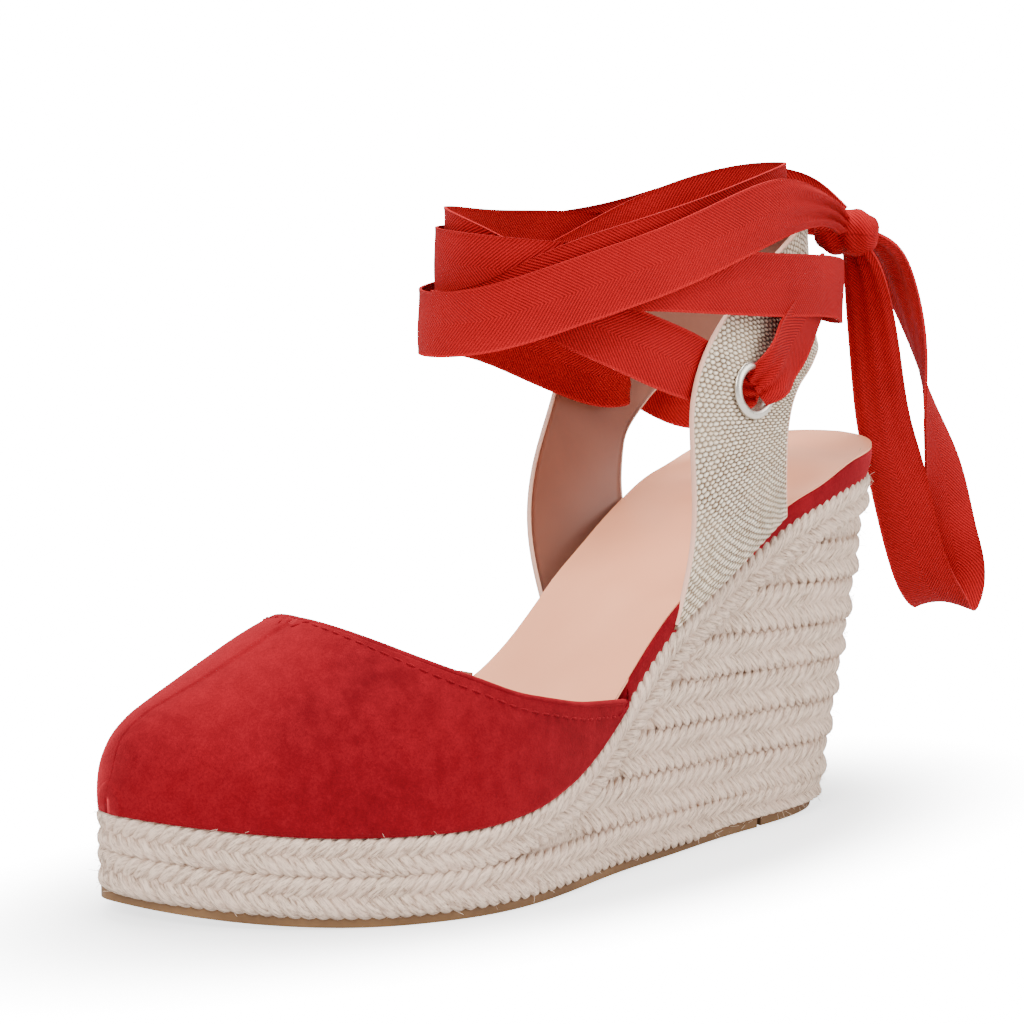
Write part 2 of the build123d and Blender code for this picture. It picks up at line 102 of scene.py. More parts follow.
# ---- tie ribbon routes, close to the CAD model's: (x, y, z, width), and for BOW_LOOP the turn in degrees;
# LATERAL_WRAP is (degrees round the ankle, z, stand-off)
RIBBON_W, RIBBON_T = 16.0, 0.7
ANKLE_CENTRE_Y, ANKLE_A, ANKLE_B = 56.5, 35.0, 65.0
LATERAL_START = [(33.2, 65.2, 115.2, 7.5), (31.4, 61.6, 115.6, 9.5), (31.0, 55.0, 117.8, 13)]
LATERAL_WRAP = [
    (-10, 121, -3), (-32, 130, -3), (-55, 139.5, -4), (-75, 147.5, -4.7), (-105, 152.5, -4.7),
    (-150, 152, -3), (-180, 151, -2), (-200, 149.5, -2), (-240, 143, -1), (-285, 136.5, -1),
    (-310, 138.5, 0.5), (-350, 141.5, 1.5), (-380, 144, 1.5), (-410, 145.5, -0.5), (-435, 147, -2),
    (-465, 148, -2), (-500, 148.5, -0.5), (-540, 150.5, 0.5), (-560, 153.5, 1), (-580, 159, 1),
    (-600, 162.5, 0), (-622, 160, 0),
]
LATERAL_END = [(8.0, 122.0, 155.5, 9)]
MEDIAL_WRAP = [
    (-31.2, 70, 115.4, 7.5), (-28.4, 74, 115, 11), (-26.4, 75.6, 114.4, 14),
    (-25, 71, 114, 16), (-25.6, 61.5, 115.2, 16), (-27.8, 46, 121, 16), (-27.6, 25.5, 128.5, 16),
    (-14, -2.6, 132.5, 16), (0, -8, 133, 16), (13.6, -3.6, 136.5, 16), (22.8, 5.8, 143, 16),
    (32.6, 27.4, 151, 16), (34, 53, 157.5, 16), (28, 78, 163, 16), (12, 93, 164, 16), (-8, 95, 162.5, 16),
    (-20, 88, 158.5, 16), (-29.8, 70, 149.5, 16),
    (-31.2, 48, 141, 16), (-29.6, 18.5, 135, 16), (-15.5, -5.4, 133, 16), (0, -11.6, 133, 16),
    (16, -7.5, 135.2, 16), (28, 9, 141.5, 16), (36.5, 33, 149.5, 16), (38.3, 55, 157, 16),
    (36.8, 70, 160.6, 15), (32, 85, 160.8, 11.5), (25.5, 98.5, 159.5, 8.5), (18.5, 109.5, 157.5, 7),
    (10.5, 120.5, 154.5, 6),
]
HEEL_LOOP = [
    (33.4, 64.8, 114.6, 9), (35.6, 68, 117.6, 12), (34.9, 74, 124, 16), (32.4, 83, 132, 16),
    (28, 92, 137.5, 16), (20.5, 102.3, 140, 16), (10, 111.8, 138, 16), (0, 115.3, 131, 16),
    (-9, 113.8, 120.5, 16), (-18, 108.8, 110.5, 16), (-26, 100.5, 106, 16),
    (-31.8, 92.5, 109.5, 16), (-34.6, 83, 115, 15), (-34, 75.5, 116.5, 10.5), (-31.2, 71.2, 115.2, 7.5),
]
RIBBON_STEP, RIBBON_COLS, PLEATS, PLEAT_H = 1.2, 17, 3, 2.0
KNOT_CENTRE, KNOT_R, KNOT_LENGTH = (10.0, 122.0, 153.0), 6.3, 17.0
KNOT_AXIS = (0.80, 0.60, -0.10)
KNOT_ROWS, KNOT_COLS = 60, 96
BOW_LOOP = [
    (9.5, 122, 152, 7, 0), (11.4, 124.4, 147.6, 10, 8), (11.8, 128.4, 137, 12.5, 25),
    (11, 133.4, 117, 14, 42), (10.4, 137.8, 100, 15, 48), (9.9, 144, 85, 16, 50), (9.4, 153.2, 61.5, 16, 50),
    (8.8, 160.6, 50.5, 16, 50), (7.6, 169.5, 46.6, 16, 50), (6.4, 174.6, 52, 16, 50),
    (6.2, 172.6, 62, 16, 58), (6, 168.4, 83, 16, 92), (6, 162.2, 99, 16, 118),
    (6.5, 156.4, 114, 15, 140), (8, 147.2, 132.5, 14, 166), (9.2, 139.2, 143.8, 13, 184),
    (10.8, 130.8, 149.6, 11, 196), (9.5, 123, 152.6, 7, 200),
]

# ---- camera: the product view, from the toe's lateral side
CAMERA_TARGET = (-31.8, 38.7, 79.3)
CAMERA_TURN, CAMERA_RISE, CAMERA_DISTANCE = 50.0, 7.6, 747.0
CAMERA_LENS, SENSOR = 98.4, 36.0

# ---- studio: brightness of sky and floor, the oval round the shoe where the floor's glow is dimmed to a painted shade
# that keeps its real shadow visible, and lamps as (name, place in metres, watts, size)
FLOOR_HALF, AIM_AT = 6, (0, 0.02, 0.07)
SKY_LIGHT, SKY_SEEN = 0.72, 18.0
FLOOR_GLOW_NEAR, FLOOR_GLOW_FAR = 2.2, 16.0
SHADE_CENTRE, SHADE_RADII = (8.0, 6.0), (52.0, 116.0)
SHADE_FROM, SHADE_FADE = 0.9, 0.9  # the painted shade fades out over this share of the radii
LIGHTS = [("key", (0.5, -1.3, 1.3), 37.5, 0.8), ("fill", (1.3, 0.7, 0.8), 23.0, 1.2),
          ("top", (-0.2, 0.1, 1.7), 52.0, 0.9)]


# ---- numbers and curves
def unit(v):
    return v / np.maximum(np.linalg.norm(v, axis=-1, keepdims=True), 1e-9)


def ease(t):
    t = np.clip(t, 0.0, 1.0)
    return t * t * (3 - 2 * t)


def soft_read(keys, values, at, radius):
    """Values between keys, with the corners rounded off over radius."""
    return np.mean([np.interp(at + d, keys, values) for d in np.linspace(-radius, radius, 9)], axis=0)


def soft_table(points, y, radius=5.0):
    return soft_read(*zip(*points), np.asarray(y, float), radius)


def spline(points, samples, closed=False):
    """Points at the given shares (0 to 1) of the smooth cubic line through points."""
    p = np.array(points, float)
    if closed:
        p = np.vstack([p, p[:1]])
    knots = np.r_[0, np.cumsum(np.maximum(np.linalg.norm(np.diff(p[:, :3], axis=0), axis=1), 1e-6))]
    h = np.diff(knots)
    n = len(p)
    system, right = np.zeros((n, n)), np.zeros((n, p.shape[1]))
    for i in range(1, n - 1):
        system[i, i - 1:i + 2] = h[i - 1], 2 * (h[i - 1] + h[i]), h[i]
        right[i] = 6 * ((p[i + 1] - p[i]) / h[i] - (p[i] - p[i - 1]) / h[i - 1])
    if closed:
        system[0, 0], system[0, -1] = 1, -1
        system[-1, [0, 1, -2, -1]] = 2 * h[0], h[0], h[-1], 2 * h[-1]
        right[-1] = 6 * ((p[1] - p[0]) / h[0] - (p[-1] - p[-2]) / h[-1])
    else:
        system[0, 0] = system[-1, -1] = 1
    bend = np.linalg.solve(system, right)
    t = np.asarray(samples) * knots[-1]
    k = np.clip(np.searchsorted(knots, t, side="right") - 1, 0, n - 2)
    a, b, w = (knots[k + 1] - t)[:, None], (t - knots[k])[:, None], h[k][:, None]
    curve = bend[k] * a ** 3 / (6 * w) + bend[k + 1] * b ** 3 / (6 * w)
    return curve + (p[k] / w - bend[k] * w / 6) * a + (p[k + 1] / w - bend[k + 1] * w / 6) * b


def even(points, step, closed=False):
    """The polyline again, with its points about step apart; extra columns come along."""
    p = np.vstack([points, points[:1]]) if closed else np.asarray(points)
    run = np.r_[0, np.cumsum(np.linalg.norm(np.diff(p[:, :3], axis=0), axis=1))]
    count = max(int(round(run[-1] / step)), 3)
    at = np.linspace(0, run[-1], count + 1)[: count if closed else count + 1]
    return np.column_stack([np.interp(at, run, p[:, c]) for c in range(p.shape[1])]), run[-1]


def tangents(p, closed=False):
    if closed:
        return unit(np.roll(p, -1, axis=0) - np.roll(p, 1, axis=0))
    return unit(np.gradient(p, axis=0))


# ---- the wedge's surface
def spring(y):
    return TOE_SPRING * np.clip((SPRING_FROM - np.asarray(y)) / SPRING_LEN, 0.0, 1.2) ** 2


def jute_top(y):
    return soft_table(JUTE_TOP, y) + spring(y)


def rim_height(y):
    """Height of the footbed's edge over the jute: less at the waist, more round the heel."""
    return RIM_FORE - RIM_WAIST_DROP * ease((y - 30.0) / 50.0) + RIM_HEEL_RISE * ease((y - 90.0) / 20.0)


def footbed_top(y):
    return jute_top(y) + rim_height(y)


def seam(index, y):
    return SEAMS[index] - SEAM_FALL * (y - SEAM_Y)


def bottom_braid_top(y):
    fore = OUTSOLE_T + BRAID_W + spring(y) - 0.3
    return fore + (seam(0, y) - fore) * ease((y + 15.0) / 60.0)


def leaned_outline(z):
    lean = [HEEL_LEAN * float(ease((y - LEAN_FROM) / (LEAN_TO - LEAN_FROM))) for _, y in OUTLINE]
    return [(x, y + d * z / LEAN_HEIGHT, 0.0) for (x, y), d in zip(OUTLINE, lean)]


WALL_COUNT = 1600
WALL_SHARES = np.arange(WALL_COUNT) / WALL_COUNT
WALL_LOW = spline(leaned_outline(0.0), WALL_SHARES, closed=True)[:, :2]
WALL_HIGH = spline(leaned_outline(LEAN_HEIGHT), WALL_SHARES, closed=True)[:, :2]


def wall_ring(height, inset=0.0):
    """The wedge's outer face all round at height(y), moved in by inset: points and outward normals."""
    z = np.full(WALL_COUNT, 40.0)
    for _ in range(40):
        flat = WALL_LOW + (WALL_HIGH - WALL_LOW) * (z / LEAN_HEIGHT)[:, None]
        z = 0.5 * z + 0.5 * height(flat[:, 1])
    along = tangents(flat, closed=True)
    out = np.c_[along[:, 1], -along[:, 0]]
    return np.c_[flat - out * inset, z], np.c_[out, np.zeros(WALL_COUNT)]


def sides_of(ring):
    """Functions giving the ring's medial and lateral x at y."""
    tip, back = int(np.argmin(ring[:, 1])), int(np.argmax(ring[:, 1]))
    order = np.roll(np.arange(WALL_COUNT), -tip)
    turn = int(np.where(order == back)[0][0])
    lateral, medial = ring[order[:turn + 1]], ring[order[turn:]][::-1]
    return (lambda y: np.interp(y, medial[:, 1], medial[:, 0]),
            lambda y: np.interp(y, lateral[:, 1], lateral[:, 0]))


# ---- meshes
def link(name, data):
    obj = bpy.data.objects.new(name, data)
    bpy.context.scene.collection.objects.link(obj)
    return obj


def make_mesh(name, points, faces, material, uvs=None):
    """A smooth-shaded mesh from points in millimetres."""
    mesh = bpy.data.meshes.new(name)
    mesh.from_pydata((np.asarray(points) * MM).tolist(), [], [tuple(int(i) for i in f) for f in faces])
    if uvs is not None:
        layer = mesh.uv_layers.new(name="UVMap")
        loops = np.zeros(len(mesh.loops), int)
        mesh.loops.foreach_get("vertex_index", loops)
        layer.data.foreach_set("uv", np.asarray(uvs, float)[loops].ravel())
    mesh.materials.append(material)
    mesh.validate()
    mesh.update()
    mesh.polygons.foreach_set("use_smooth", [True] * len(mesh.polygons))
    return link(name, mesh)


def grid_faces(rows, cols, wrap_rows=False, wrap_cols=False, start=0):
    """Quads between neighbours of a rows by cols grid of points."""
    i, j = np.meshgrid(np.arange(rows if wrap_rows else rows - 1),
                       np.arange(cols if wrap_cols else cols - 1), indexing="ij")
    i2, j2 = (i + 1) % rows, (j + 1) % cols
    quads = np.stack([i * cols + j, i2 * cols + j, i2 * cols + j2, i * cols + j2], axis=-1)
    return quads.reshape(-1, 4) + start


def ring_faces(rows, around, closed=False):
    """Faces of rings of points one after the other: joined end to end if closed, or else with capped ends."""
    faces = list(map(tuple, grid_faces(rows, around, wrap_rows=closed, wrap_cols=True)))
    if not closed:
        last = (rows - 1) * around
        faces += [tuple(range(around))[::-1], tuple(range(last, last + around))]
    return faces


def tube(centre, side, out, radii, around, lobes=0.0, lobe_count=6, closed=False):
    """Points and faces of an elliptical strand along centre, with its fibres' lobes."""
    angle = 2 * np.pi * np.arange(around) / around
    twist = np.linspace(0, 1, len(centre))[:, None] * 2 * np.pi * len(centre) / 60
    swell = 1 + lobes * np.cos(lobe_count * angle[None, :] + (0 if closed else twist))
    ring = (side[:, None, :] * (np.cos(angle) * radii[0])[None, :, None]
            + out[:, None, :] * (np.sin(angle) * radii[1])[None, :, None])
    points = centre[:, None, :] + ring * swell[..., None]
    return points.reshape(-1, 3), ring_faces(len(centre), around, closed)


def slab(front, back):
    """Points and faces of two grids, one behind the other, closed round their edges."""
    rows, cols = front.shape[:2]
    points = np.concatenate([front.reshape(-1, 3), back.reshape(-1, 3)])
    count = rows * cols
    faces = list(map(tuple, grid_faces(rows, cols)))
    faces += list(map(tuple, grid_faces(rows, cols, start=count)[:, ::-1]))
    rim = [r * cols for r in range(rows)] + [(rows - 1) * cols + c for c in range(1, cols)]
    rim += [r * cols + cols - 1 for r in range(rows - 2, -1, -1)] + [c for c in range(cols - 2, 0, -1)]
    faces += [(b, b + count, a + count, a) for a, b in zip(rim, rim[1:] + rim[:1])]
    return points, faces


def plain(points, faces):
    """A part whose material needs no uvs."""
    return points, faces, np.zeros((len(points), 2))


def join(parts):
    """Several (points, faces, uvs) as one."""
    points, faces, uvs, base = [], [], [], 0
    for p, f, uv in parts:
        points.append(p)
        uvs.append(uv)
        faces += [tuple(int(i) + base for i in face) for face in f]
        base += len(p)
    return np.vstack(points), faces, np.vstack(uvs)


# ---- materials
class Shader:
    """A node material, built with short calls."""

    def __init__(self, name):
        self.material = bpy.data.materials.new(name)
        self.material.use_nodes = True
        self.tree = self.material.node_tree
        self.tree.nodes.clear()
        self.out = self.tree.nodes.new("ShaderNodeOutputMaterial")
        self.surface = self.tree.nodes.new("ShaderNodeBsdfPrincipled")
        self.tree.links.new(self.surface.outputs[0], self.out.inputs[0])

    def put(self, socket, value):
        if isinstance(value, bpy.types.NodeSocket):
            self.tree.links.new(value, socket)
        else:
            socket.default_value = value

    def node(self, kind, inputs=None, **settings):
        made = self.tree.nodes.new(kind)
        for key, value in settings.items():
            setattr(made, key, value)
        for key, value in (inputs or {}).items():
            self.put(made.inputs[key], value)
        return made

    def maths(self, operation, a, b=0.0):
        return self.node("ShaderNodeMath", {0: a, 1: b}, operation=operation).outputs[0]

    def times(self, a, b):
        return self.maths("MULTIPLY", a, b)

    def noise(self, where, scale, detail=3.0, roughness=0.55):
        inputs = {"Vector": where, "Scale": scale, "Detail": detail, "Roughness": roughness}
        return self.node("ShaderNodeTexNoise", inputs).outputs["Fac"]

    def mix(self, share, a, b):
        made = self.node("ShaderNodeMix", data_type="RGBA")
        self.put(made.inputs[0], share)
        self.put(made.inputs[6], a)
        self.put(made.inputs[7], b)
        return made.outputs[2]

    def ramp(self, value, low=0.35, high=0.65):
        inputs = {"Value": value, "From Min": low, "From Max": high}
        return self.node("ShaderNodeMapRange", inputs).outputs[0]

    def place(self):
        return self.node("ShaderNodeTexCoord").outputs["Object"]

    def uv(self):
        return self.node("ShaderNodeUVMap").outputs[0]

    def bump(self, height, strength, distance):
        inputs = {"Height": height, "Strength": strength, "Distance": distance}
        self.put(self.surface.inputs["Normal"], self.node("ShaderNodeBump", inputs).outputs[0])

    def finish(self, colour, roughness, sheen=0.0, sheen_tint=(1, 1, 1, 1), metallic=0.0, specular=0.5):
        values = {"Base Color": colour, "Roughness": roughness, "Metallic": metallic,
                  "Specular IOR Level": specular, "Sheen Weight": sheen, "Sheen Tint": sheen_tint}
        for socket, value in values.items():
            self.put(self.surface.inputs[socket], value)
        return self.material


def suede(name="red_suede"):
    """Brushed suede: slow patches, short strokes and a fine nap, with a red sheen at glancing angles."""
    s = Shader(name)
    where = s.place()
    patches = s.noise(where, 28.0, 4.0)
    nap = s.noise(where, 1600.0, 3.0, 0.7)
    strokes = s.noise(where, 260.0, 3.0)
    tone = s.mix(s.ramp(patches, 0.32, 0.68), (0.1, 0.0017, 0.004, 1), (0.186, 0.0031, 0.0073, 1))
    tone = s.mix(s.times(s.ramp(strokes, 0.35, 0.7), 0.35), tone, (0.29, 0.0075, 0.015, 1))
    tone = s.mix(s.times(s.ramp(nap), 0.4), tone, (0.072, 0.0011, 0.003, 1))
    s.put(s.surface.inputs["Sheen Roughness"], 0.45)
    s.bump(nap, 0.45, 0.00025)
    return s.finish(tone, 0.92, sheen=0.6, sheen_tint=(1.0, 0.07, 0.09, 1), specular=0.05)


def herringbone():
    """Twill tape: ribs slant away from the middle line; u runs across (0 to 1), v along in widths."""
    s = Shader("red_ribbon")
    axes = s.node("ShaderNodeSeparateXYZ", {0: s.uv()})
    across = s.maths("ABSOLUTE", s.maths("SUBTRACT", axes.outputs[0], 0.5))
    slant = s.times(across, 17.0)
    along = s.times(axes.outputs[1], 15.5)
    rib_phase = s.times(s.maths("ADD", slant, along), 2 * math.pi)
    rib = s.ramp(s.maths("SINE", rib_phase), -1.0, 1.0)
    thread = s.maths("SINE", s.times(axes.outputs[0], 2 * math.pi * 46))
    fibre = s.noise(s.place(), 2600.0, 2.0, 0.6)
    wear = s.noise(s.place(), 45.0, 3.0)
    edge = s.ramp(across, 0.455, 0.475)
    tone = s.mix(s.ramp(rib, 0.15, 0.75), (0.165, 0.001, 0.0018, 1), (0.375, 0.0022, 0.0042, 1))
    tone = s.mix(s.times(s.ramp(wear), 0.28), tone, (0.43, 0.0046, 0.0072, 1))
    tone = s.mix(s.times(edge, 0.5), tone, (0.48, 0.0088, 0.0105, 1))
    height = s.maths("ADD", rib, s.times(thread, 0.12))
    height = s.maths("ADD", height, s.times(fibre, 0.35))
    s.bump(height, 0.7, 0.00026)
    return s.finish(tone, 0.78, sheen=0.04, sheen_tint=(1.0, 0.12, 0.1, 1), specular=0.12)


def jute():
    """Plaited bast fibre: u runs round a strand, v along it."""
    s = Shader("jute")
    stretched = s.node("ShaderNodeMapping", {"Vector": s.uv(), "Scale": (7.0, 1.9, 1.0)}).outputs[0]
    fibres = s.noise(stretched, 2.2, 5.0, 0.75)
    patches = s.noise(s.place(), 90.0, 3.0)
    tone = s.mix(s.ramp(fibres, 0.35, 0.56), (0.26, 0.13, 0.08, 1), (1.0, 0.77, 0.6, 1))
    tone = s.mix(s.times(s.ramp(patches, 0.38, 0.66), 0.35), tone, (1.0, 0.72, 0.57, 1))
    s.bump(fibres, 0.9, 0.0014)
    return s.finish(tone, 0.92, sheen=0.34, sheen_tint=(1.0, 0.84, 0.72, 1), specular=0.1)


def canvas():
    """Off-white basket weave: staggered oval floats, with painted shade darkening the gaps between them; u and
    v run in millimetres.
    """
    s = Shader("canvas")
    inputs = {"Vector": s.place(), "Scale": 330.0, "Detail": 2.0}
    wander = s.node("ShaderNodeTexNoise", inputs).outputs["Color"]
    drawn = s.node("ShaderNodeVectorMath", {0: wander, 1: (-0.5, -0.5, -0.5)}, operation="ADD").outputs[0]
    drawn = s.node("ShaderNodeVectorMath", {0: drawn, "Scale": 1.1}, operation="SCALE").outputs[0]
    where = s.node("ShaderNodeVectorMath", {0: s.uv(), 1: drawn}, operation="ADD").outputs[0]
    axes = s.node("ShaderNodeSeparateXYZ", {0: where})
    row = s.maths("DIVIDE", axes.outputs[1], FLOAT_ROW)
    shift = s.times(s.maths("MODULO", s.maths("FLOOR", row), 2.0), 0.5)
    column = s.maths("ADD", s.maths("DIVIDE", axes.outputs[0], FLOAT_PITCH), shift)
    fu = s.maths("DIVIDE", s.maths("SUBTRACT", s.maths("FRACT", column), 0.5), FLOAT_HALF[0])
    fv = s.maths("DIVIDE", s.maths("SUBTRACT", s.maths("FRACT", row), 0.5), FLOAT_HALF[1])
    away = s.maths("ADD", s.times(fu, fu), s.times(fv, fv))
    height = s.ramp(away, 1.15, 0.15)
    fluff = s.noise(s.place(), 1500.0, 3.0)
    patches = s.noise(s.place(), 60.0, 2.0)
    uneven = s.ramp(s.noise(s.place(), 620.0, 2.0), 0.3, 0.7)
    yarn = s.mix(uneven, (0.86, 0.66, 0.48, 1), (1.0, 0.9, 0.74, 1))
    # painted shade: the colour falls to a dark brown in the gaps between the floats, where the weave lies in
    # shade
    tone = s.mix(height, (0.16, 0.095, 0.05, 1), yarn)
    tone = s.mix(s.times(s.ramp(patches, 0.4, 0.7), 0.25), tone, (0.78, 0.59, 0.4, 1))
    s.bump(s.maths("ADD", height, s.times(fluff, 0.4)), 0.8, 0.0005)
    return s.finish(tone, 0.9, sheen=0.1, specular=0.15)


def mottled(name, dark, light, roughness, clouds=(22.0, 3.0), grain=900.0, bump=(0.12, 0.0001), specular=0.45):
    """Two tones in slow clouds over a fine grain; plain satin unless told otherwise."""
    s = Shader(name)
    where = s.place()
    s.bump(s.noise(where, grain, 3.0), *bump)
    return s.finish(s.mix(s.ramp(s.noise(where, *clouds)), dark, light), roughness, specular=specular)


def silver():
    s = Shader("silver_metal")
    rub = s.noise(s.place(), 1200.0, 2.0)
    s.bump(rub, 0.04, 0.0001)
    return s.finish((0.66, 0.6, 0.52, 1), s.ramp(rub, -0.3, 2.2), metallic=1.0)


def cork():
    s = Shader("hidden_cork")
    grains = s.noise(s.place(), 300.0, 4.0)
    tone = s.mix(grains, (0.35, 0.22, 0.12, 1), (0.6, 0.42, 0.27, 1))
    s.bump(grains, 0.4, 0.0004)
    return s.finish(tone, 0.9)


SUEDE, RIBBON, JUTE, CANVAS = suede(), herringbone(), jute(), canvas()
FOOTBED = mottled("footbed_satin", (0.78, 0.31, 0.165, 1), (0.84, 0.35, 0.19, 1), 0.34)
# painted shade: the lining is the footbed's pinkish satin made far darker, for the shade inside the vamp and
# the sling
SHADED_LINING = mottled("lining_satin_painted_shade", (0.22, 0.088, 0.056, 1), (0.26, 0.108, 0.07, 1), 0.5)
EDGE_TAPE = mottled("edge_tape", (0.66, 0.37, 0.26, 1), (0.78, 0.46, 0.34, 1), 0.6)
RUBBER = mottled("sole_rubber", (0.13, 0.065, 0.026, 1), (0.19, 0.1, 0.042, 1), 0.6,
                 (40.0, 2.0), 700.0, (0.3, 0.0002), 0.3)
SILVER, CORK = silver(), cork()
THREAD = suede("red_thread")


def build(name, points, faces, material, node=None, uvs=None, body="sandal", slot=None):
    """A piece: its mesh, the body it rides on, its finish, and the CAD node it stands for."""
    obj = make_mesh(name, np.reshape(points, (-1, 3)), faces, material, uvs)
    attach(obj, body)
    if node:
        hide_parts(node)
    return obj


# ---- jute plaits
LEAF_SPACING, STRANDS = 3.25, 7
PLAIT_PERIOD, STRAND_R, STRAND_DEPTH = LEAF_SPACING * STRANDS, (1.42, 0.95), 1.25
EDGE_TUCK = 0.45  # how far a strand turns in where it folds back at an edge
PLAIT_OUT = STRAND_R[1] + STRAND_DEPTH
STRAND_SIDES, STRAND_LOBES, LOBE_DEPTH = 12, 5, 0.07
LOWEST_JUTE, HEEL_LIFT = 1.3, 1.9
PLAIT_STEP, PLAIT_OVERLAP, TUCK_SPAN = 0.75, 0.8, 4.5
HAIRS_PER_MM, TOP_HAIRS_PER_MM, HAIR_R = 1.3, 1.4, 0.045
BACKING_IN, BACKING_DEEP = 2.3, 3.6


def lowest_jute(y):
    """The plaits end over the sole's edge at the toe, and over the heel pad at the back."""
    return LOWEST_JUTE + HEEL_LIFT * ease((y - 38.0) / 16.0)


def plait(path, out, width, closed):
    """Strands woven flat along path, each over its neighbours on its way out to an edge."""
    along = tangents(path, closed)
    up = unit(np.cross(out, along))
    run = np.r_[0, np.cumsum(np.linalg.norm(np.diff(path, axis=0), axis=1))]
    total = run[-1] + (np.linalg.norm(path[0] - path[-1]) if closed else 0)
    turns = max(round(total / PLAIT_PERIOD), 1)
    swing = width / 2 - STRAND_R[0] * 0.7
    parts = []
    for k in range(STRANDS):
        theta = 2 * np.pi * (run / total * turns + k / STRANDS)
        depth = STRAND_DEPTH * np.sin(2 * theta) - EDGE_TUCK * np.sin(theta) ** 8 - PLAIT_OUT
        centre = path + up * (swing * np.sin(theta))[:, None] + out * depth[:, None]
        heading = tangents(centre, closed)
        side = unit(np.cross(heading, out))
        points, faces = tube(centre, side, unit(np.cross(side, heading)), STRAND_R, STRAND_SIDES,
                             LOBE_DEPTH, STRAND_LOBES, closed)
        points[:, 2] = np.maximum(points[:, 2], lowest_jute(points[:, 1]))
        ring = np.tile(np.arange(STRAND_SIDES) / STRAND_SIDES, len(centre))
        lengthwise = np.repeat(run / 10 + k * 3.7, STRAND_SIDES)
        parts.append((points, faces, np.c_[ring, lengthwise]))
    return join(parts)


def fuzz(path, out, width, per_mm, closed=False):
    """Loose fibre ends standing off a plait."""
    along = tangents(path, closed)
    up = unit(np.cross(out, along))
    length = np.linalg.norm(np.diff(path, axis=0), axis=1).sum()
    parts = []
    for _ in range(int(length * per_mm)):
        k = RNG.integers(0, len(path))
        root = path[k] + up[k] * RNG.uniform(-0.5, 0.5) * width - out[k] * 0.9
        heading = unit(along[k] * RNG.normal(0, 1) + up[k] * RNG.normal(0, 0.8)
                       + out[k] * RNG.uniform(0.25, 0.8))
        curl = unit(RNG.normal(0, 1, 3)) * RNG.uniform(0.1, 0.5)
        t = np.linspace(0, 1, 4)[:, None]
        centre = root + heading * t * RNG.uniform(1.4, 3.2) + curl * t * t
        lean = np.tile(unit(np.cross(heading, out[k] + 0.01)), (4, 1))
        points, faces = tube(centre, lean, unit(np.cross(lean, tangents(centre))), (HAIR_R, HAIR_R), 3)
        points[:, 2] = np.maximum(points[:, 2], LOWEST_JUTE)
        parts.append((points, faces, np.tile([0.5, float(k)], (len(points), 1))))
    return join(parts)


def build_plait(part, path, out, width, closed, hairs=HAIRS_PER_MM):
    points, faces, uvs = join([plait(path, out, width, closed), fuzz(path, out, width, hairs, closed)])
    build(f"jute_plait_{part}", points, faces, JUTE, f"jute_braid_{part}", uvs)


def ring_with_normals(height):
    """The wedge's outer face at height(y) in even steps, with its normals."""
    points, out = wall_ring(height)
    both, _ = even(np.c_[points, out], PLAIT_STEP, closed=True)
    return both[:, :3], unit(both[:, 3:])


def jute_backing():
    """Jute cloth glued over the core, seen only in the gaps between plaits."""
    levels = np.linspace(0, 1, 9)
    outer, inner = [], []
    for share in levels:
        def height(y, share=share):
            return (OUTSOLE_T + spring(y)) * (1 - share) + (jute_top(y) - 1.5) * share
        outer.append(wall_ring(height, BACKING_IN)[0][::4])
        inner.append(wall_ring(height, BACKING_DEEP)[0][::4])
    loop = np.concatenate([np.stack(outer, axis=1), np.stack(inner[::-1], axis=1)], axis=1)
    faces = grid_faces(loop.shape[0], loop.shape[1], wrap_rows=True, wrap_cols=True)
    uv = loop.reshape(-1, 3)[:, 1:] / 6
    build("jute_backing", loop, faces, JUTE, uvs=uv)


def top_braid_centre(y):
    """Middle of the plait under the footbed, lower where it climbs, so that its upper edge meets jute_top."""
    rise = (soft_table(JUTE_TOP, y + 4) - soft_table(JUTE_TOP, y - 4)) / 8.0
    return jute_top(y) - 0.5 * TOP_BRAID_W * np.sqrt(1 + rise ** 2) + 0.5 * (TOP_BRAID_W - BRAID_W)


def jute_wedge():
    """The plait round the bottom, the plait under the footbed, and the heel's stacked rows between them."""
    path, out = ring_with_normals(lambda y: (OUTSOLE_T + spring(y) + bottom_braid_top(y)) / 2)
    build_plait("bottom", path, out, BRAID_W + PLAIT_OVERLAP, True)
    path, out = ring_with_normals(top_braid_centre)
    build_plait("top", path, out, TOP_BRAID_W - PLAIT_OVERLAP, True, TOP_HAIRS_PER_MM)
    jute_backing()
    for i in range(len(SEAMS) - 1):
        def middle(y, i=i):
            return (np.maximum(seam(i, y), bottom_braid_top(y)) + seam(i + 1, y)) / 2

        points, out = wall_ring(middle)
        # clearance under the plait that follows the footbed; a row runs in behind it and stops
        room = top_braid_centre(points[:, 1]) - TOP_BRAID_W / 2 - points[:, 2]
        heel = WALL_COUNT // 2
        order = np.roll(np.arange(WALL_COUNT), heel - int(np.argmax(points[:, 1])))
        hidden = np.r_[-1, np.flatnonzero(room[order] <= -TUCK_SPAN), WALL_COUNT]
        keep = order[hidden[hidden < heel][-1] + 1:hidden[hidden > heel][0]]
        tuck = 2.6 * ease((4.0 - room[keep]) / (TUCK_SPAN + 2.0))
        packed, _ = even(np.c_[points[keep] - out[keep] * tuck[:, None], out[keep]], PLAIT_STEP)
        width = SEAMS[i + 1] - SEAMS[i] + PLAIT_OVERLAP
        build_plait(f"row_{i + 2}", packed[:, :3], unit(packed[:, 3:]), width, False)


